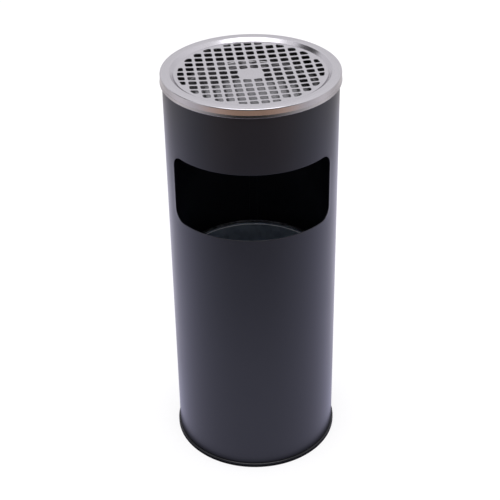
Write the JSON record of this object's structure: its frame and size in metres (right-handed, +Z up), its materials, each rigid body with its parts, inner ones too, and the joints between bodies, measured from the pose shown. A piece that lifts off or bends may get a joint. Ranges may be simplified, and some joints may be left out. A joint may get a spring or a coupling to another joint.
{
  "type": "ashtray bin",
  "caption": "Free-standing tubular litter bin with a wide front opening, a lift-out liner inside and a stainless ash pan with a pierced grate on top.",
  "frame": {"origin": "on the floor at the tube's axis, centre of the base ring's underside", "axes": "+Z up along the tube, the litter opening faces -Y, +X to the right seen from above with +Y away from the opening"},
  "size_m": [0.2506, 0.2506, 0.613],
  "materials": {
    "powder_coat": "satin graphite powder coat, fine orange peel",
    "stainless": "brushed stainless steel",
    "galvanised": "galvanised sheet, dull zinc spangle",
    "zinc_wire": "zinc-plated wire and pressings, satin",
    "ring_plastic": "black moulded plastic, slight sheen"
  },
  "bodies": {
    "bin_frame": {"outer_shell": "powder_coat", "base_plate": "galvanised", "base_ring": "ring_plastic"},
    "pan_unit": {"ash_pan": "stainless"},
    "grate_unit": {"ash_grate": "stainless"},
    "liner_unit": {"liner_body": "galvanised", "liner_bottom": "galvanised", "liner_rim_wire": "zinc_wire", "bail_ear_left": "zinc_wire", "bail_ear_right": "zinc_wire", "ear_rivets": "zinc_wire"},
    "bail_unit": {"bail": "zinc_wire"}
  },
  "joints": [
    {"name": "pan_lift", "type": "slide", "parent": "bin_frame", "child": "pan_unit", "axis": [0, 0, 1], "range_m": [0, 0.12]},
    {"name": "grate_lift", "type": "slide", "parent": "pan_unit", "child": "grate_unit", "axis": [0, 0, 1], "range_m": [0, 0.06]},
    {"name": "liner_lift", "type": "slide", "parent": "bin_frame", "child": "liner_unit", "axis": [0, 0, 1], "range_m": [0, 0.14]},
    {"name": "bail_swing", "type": "hinge", "parent": "liner_unit", "child": "bail_unit", "pos_m": [0, 0, 0.30375], "axis": [1, 0, 0], "range_deg": [0, 180]}
  ]
}
